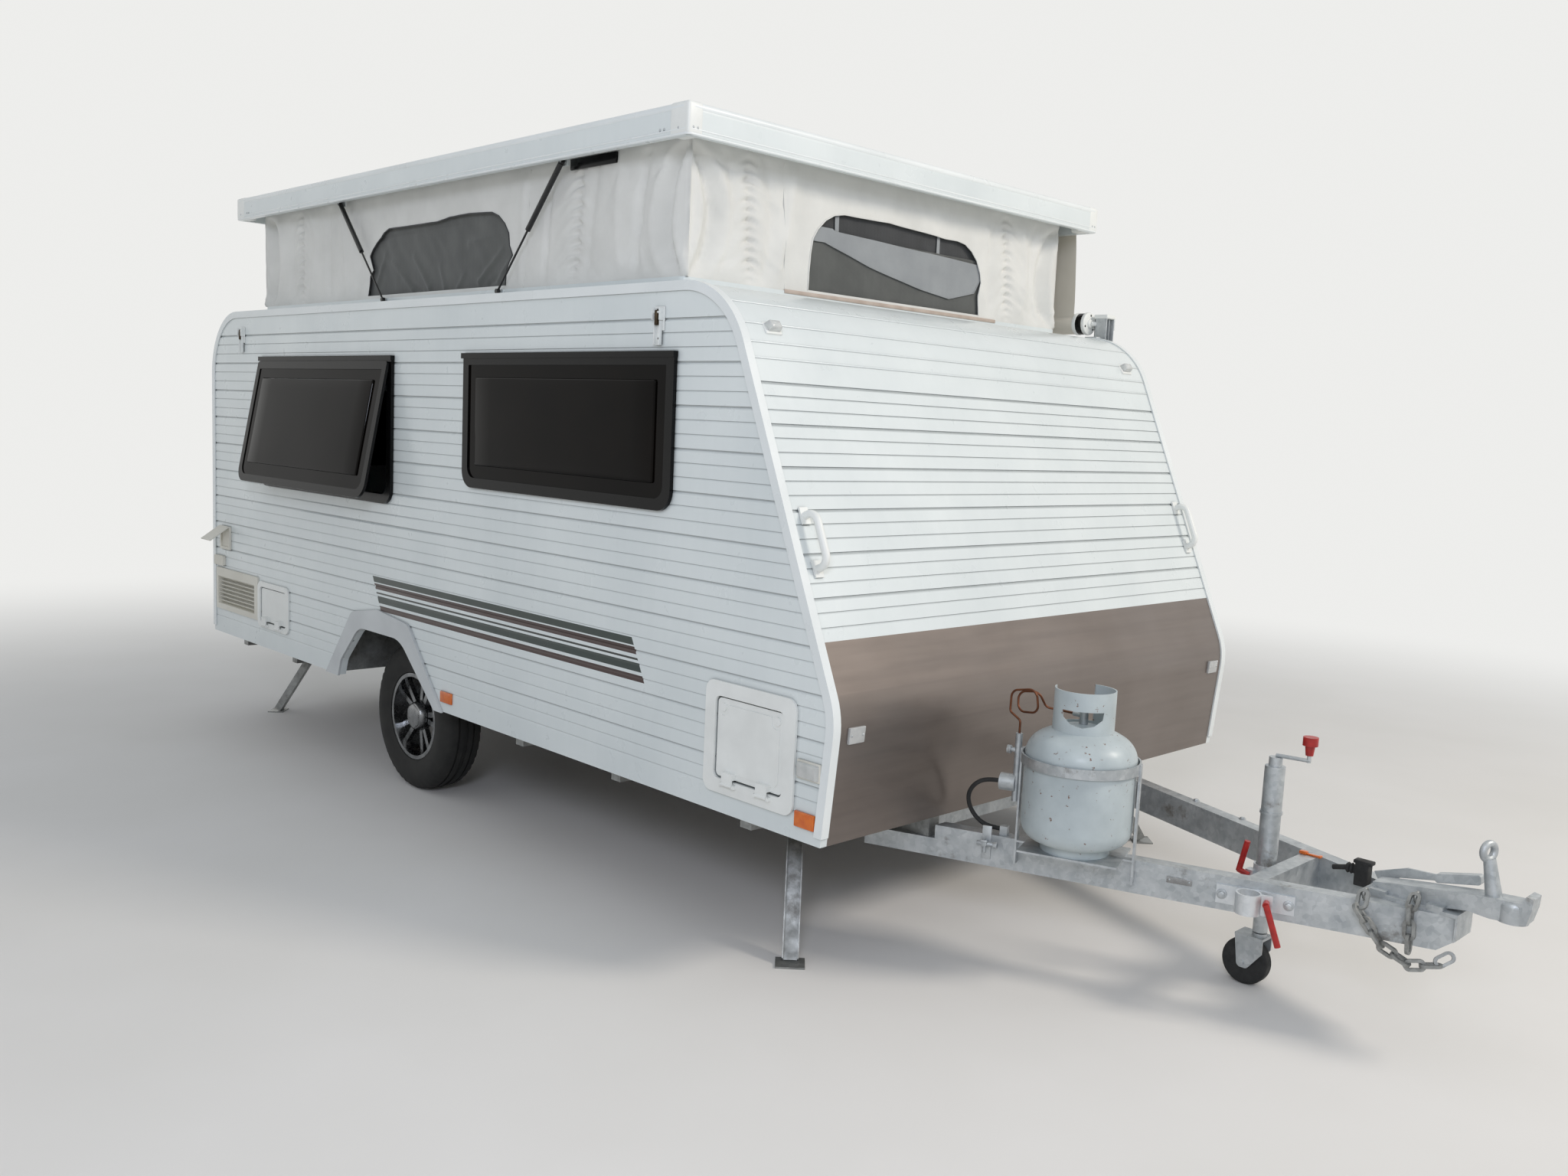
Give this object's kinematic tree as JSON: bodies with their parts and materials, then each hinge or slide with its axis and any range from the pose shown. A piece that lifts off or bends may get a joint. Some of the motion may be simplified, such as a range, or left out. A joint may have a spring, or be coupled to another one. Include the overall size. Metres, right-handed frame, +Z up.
{
  "type": "travel caravan",
  "caption": "Single-axle travel caravan with a raised pop-top roof on a canvas skirt, a side awning, corner legs and an A-frame drawbar on a jockey wheel.",
  "frame": {"origin": "on the ground under the middle of the overall length and width", "axes": "+X forward to the coupling, +Y to the left, which is the awning and door side, +Z up"},
  "size_m": [6.02, 2.5238, 2.626],
  "materials": {
    "white_aluminium": "gloss enamel",
    "taupe_aluminium": "satin metallic",
    "white_trim": "gloss",
    "plywood": "dark sealed",
    "galvanised_steel": "spangled zinc",
    "black_steel": "satin",
    "spat_plastic": "satin",
    "white_plastic": "satin",
    "cream_plastic": "satin",
    "black_plastic": "gloss",
    "tinted_acrylic": "dark tint",
    "lamp_plastic": "clear gloss",
    "tyre": "moulded",
    "alloy": "machined",
    "canvas": "woven",
    "awning_vinyl": "coated",
    "gas_cylinder_enamel": "worn enamel",
    "red_plastic": "gloss",
    "rubber": "moulded",
    "white_steel": "gloss",
    "copper": "tarnished",
    "brass": "tarnished"
  },
  "bodies": {
    "caravan": {"appliance_vent": "cream_plastic", "awning_fabric": "awning_vinyl", "awning_roll": "awning_vinyl", "axle": "galvanised_steel", "canvas_skirt": "canvas", "chassis": "galvanised_steel", "corner_trims": "white_trim", "coupling": "galvanised_steel", "crank_knob": "red_plastic", "cylinder_holder": "galvanised_steel", "drawbar": "galvanised_steel", "floor": "plywood", "front_wall": "white_aluminium", "gas_cylinder": "gas_cylinder_enamel", "gas_fittings": "brass", "gas_hose": "rubber", "gas_pigtail": "copper", "grab_handles": "white_plastic", "jockey_tube": "galvanised_steel", "lamps": "lamp_plastic", "left_wall": "white_aluminium", "lower_front_panel": "taupe_aluminium", "opening_frames": "white_plastic", "power_inlet": "cream_plastic", "rear_wall": "white_aluminium", "red_handles": "red_plastic", "right_wall": "white_aluminium", "roof_deck": "white_aluminium", "roof_latches": "white_steel", "safety_chains": "galvanised_steel", "tube_clamps": "galvanised_steel", "wheel_boxes": "galvanised_steel", "wheel_spats": "spat_plastic", "window_frames": "black_plastic", "window_panes": "tinted_acrylic"},
    "wheel_right": {"tyre_right": "tyre", "rim_right": "alloy"},
    "wheel_left": {"tyre_left": "tyre", "rim_left": "alloy"},
    "lid": {"roof_lid": "white_aluminium"},
    "door": {"entry_door": "white_aluminium", "door_pane": "tinted_acrylic"},
    "boot_door_right": {"boot_door_right": "white_plastic"},
    "boot_door_left": {"boot_door_left": "white_plastic"},
    "hatch": {"service_hatch": "white_plastic"},
    "jockey_stem": {"jockey_stem": "galvanised_steel"},
    "jockey_fork": {"jockey_fork": "galvanised_steel"},
    "jockey_wheel": {"jockey_wheel": "rubber"},
    "leg_front_right": {"leg_front_right": "galvanised_steel"},
    "strut_body_front_right": {"strut_body_front_right": "black_steel"},
    "strut_rod_front_right": {"strut_rod_front_right": "galvanised_steel"},
    "leg_front_left": {"leg_front_left": "galvanised_steel"},
    "strut_body_front_left": {"strut_body_front_left": "black_steel"},
    "strut_rod_front_left": {"strut_rod_front_left": "galvanised_steel"},
    "leg_rear_right": {"leg_rear_right": "galvanised_steel"},
    "strut_body_rear_right": {"strut_body_rear_right": "black_steel"},
    "strut_rod_rear_right": {"strut_rod_rear_right": "galvanised_steel"},
    "leg_rear_left": {"leg_rear_left": "galvanised_steel"},
    "strut_body_rear_left": {"strut_body_rear_left": "black_steel"},
    "strut_rod_rear_left": {"strut_rod_rear_left": "galvanised_steel"}
  },
  "joints": [
    {"name": "wheel_right_spin", "type": "hinge", "parent": "caravan", "child": "wheel_right", "pos_m": [-1.121, -0.9345, 0.322], "axis": [0, 1, 0], "continuous": true},
    {"name": "wheel_left_spin", "type": "hinge", "parent": "caravan", "child": "wheel_left", "pos_m": [-1.121, 0.9345, 0.322], "axis": [0, 1, 0], "continuous": true},
    {"name": "lid_lift", "type": "slide", "parent": "caravan", "child": "lid", "axis": [0, 0, 1], "range_m": [-0.433, 0], "deforming": ["canvas_skirt", "awning_fabric"]},
    {"name": "door_swing", "type": "hinge", "parent": "caravan", "child": "door", "pos_m": [0.079, 1.157, 1.24], "axis": [0, 0, -1], "range_deg": [0, 170]},
    {"name": "boot_door_right_swing", "type": "hinge", "parent": "caravan", "child": "boot_door_right", "pos_m": [1.1565, -1.157, 0.547], "axis": [1, 0, 0], "range_deg": [0, 170]},
    {"name": "boot_door_left_swing", "type": "hinge", "parent": "caravan", "child": "boot_door_left", "pos_m": [1.1565, 1.157, 0.547], "axis": [-1, 0, 0], "range_deg": [0, 170]},
    {"name": "hatch_swing", "type": "hinge", "parent": "caravan", "child": "hatch", "pos_m": [-2.2455, -1.157, 0.564], "axis": [1, 0, 0], "range_deg": [0, 170]},
    {"name": "jockey_lift", "type": "slide", "parent": "caravan", "child": "jockey_stem", "axis": [0, 0, 1], "range_m": [-0.08, 0.12]},
    {"name": "jockey_swivel", "type": "hinge", "parent": "jockey_stem", "child": "jockey_fork", "pos_m": [2.269, 0, 0.172], "axis": [0, 0, 1], "continuous": true},
    {"name": "jockey_roll", "type": "hinge", "parent": "jockey_fork", "child": "jockey_wheel", "pos_m": [2.235, 0, 0.073], "axis": [0, 1, 0], "continuous": true},
    {"name": "leg_front_right_fold", "type": "hinge", "parent": "caravan", "child": "leg_front_right", "pos_m": [1.104, -0.87, 0.376], "axis": [-0.7071, -0.7071, 0], "range_deg": [0, 59]},
    {"name": "leg_front_left_fold", "type": "hinge", "parent": "caravan", "child": "leg_front_left", "pos_m": [1.104, 0.87, 0.376], "axis": [0.7071, -0.7071, 0], "range_deg": [0, 59]},
    {"name": "leg_rear_right_fold", "type": "hinge", "parent": "caravan", "child": "leg_rear_right", "pos_m": [-2.696, -0.7, 0.376], "axis": [-0.7071, 0.7071, 0], "range_deg": [0, 59]},
    {"name": "leg_rear_left_fold", "type": "hinge", "parent": "caravan", "child": "leg_rear_left", "pos_m": [-2.696, 0.7, 0.376], "axis": [0.7071, 0.7071, 0], "range_deg": [0, 59]},
    {"name": "strut_front_right_swing", "type": "hinge", "parent": "lid", "child": "strut_body_front_right", "pos_m": [0.005, -1.08, 2.53], "axis": [0, 1, 0], "range_deg": [0, 48]},
    {"name": "strut_front_right_stroke", "type": "slide", "parent": "strut_body_front_right", "child": "strut_rod_front_right", "axis": [-0.6811, 0, -0.7322], "range_m": [-0.188, 0]},
    {"name": "strut_rear_right_swing", "type": "hinge", "parent": "lid", "child": "strut_body_rear_right", "pos_m": [-1.69, -1.08, 2.53], "axis": [0, -1, 0], "range_deg": [0, 48]},
    {"name": "strut_rear_right_stroke", "type": "slide", "parent": "strut_body_rear_right", "child": "strut_rod_rear_right", "axis": [0.6811, 0, -0.7322], "range_m": [-0.188, 0]},
    {"name": "strut_front_left_swing", "type": "hinge", "parent": "lid", "child": "strut_body_front_left", "pos_m": [0.005, 1.08, 2.53], "axis": [0, 1, 0], "range_deg": [0, 48]},
    {"name": "strut_front_left_stroke", "type": "slide", "parent": "strut_body_front_left", "child": "strut_rod_front_left", "axis": [-0.6811, 0, -0.7322], "range_m": [-0.188, 0]},
    {"name": "strut_rear_left_swing", "type": "hinge", "parent": "lid", "child": "strut_body_rear_left", "pos_m": [-1.69, 1.08, 2.53], "axis": [0, -1, 0], "range_deg": [0, 48]},
    {"name": "strut_rear_left_stroke", "type": "slide", "parent": "strut_body_rear_left", "child": "strut_rod_rear_left", "axis": [0.6811, 0, -0.7322], "range_m": [-0.188, 0]}
  ],
  "couplings": [
    {"joint": "strut_front_right_swing", "follows": "lid_lift", "rad_per_m": -1.9146},
    {"joint": "strut_front_right_stroke", "follows": "lid_lift", "ratio": 0.4325},
    {"joint": "strut_rear_right_swing", "follows": "lid_lift", "rad_per_m": -1.9146},
    {"joint": "strut_rear_right_stroke", "follows": "lid_lift", "ratio": 0.4325},
    {"joint": "strut_front_left_swing", "follows": "lid_lift", "rad_per_m": -1.9146},
    {"joint": "strut_front_left_stroke", "follows": "lid_lift", "ratio": 0.4325},
    {"joint": "strut_rear_left_swing", "follows": "lid_lift", "rad_per_m": -1.9146},
    {"joint": "strut_rear_left_stroke", "follows": "lid_lift", "ratio": 0.4325}
  ]
}
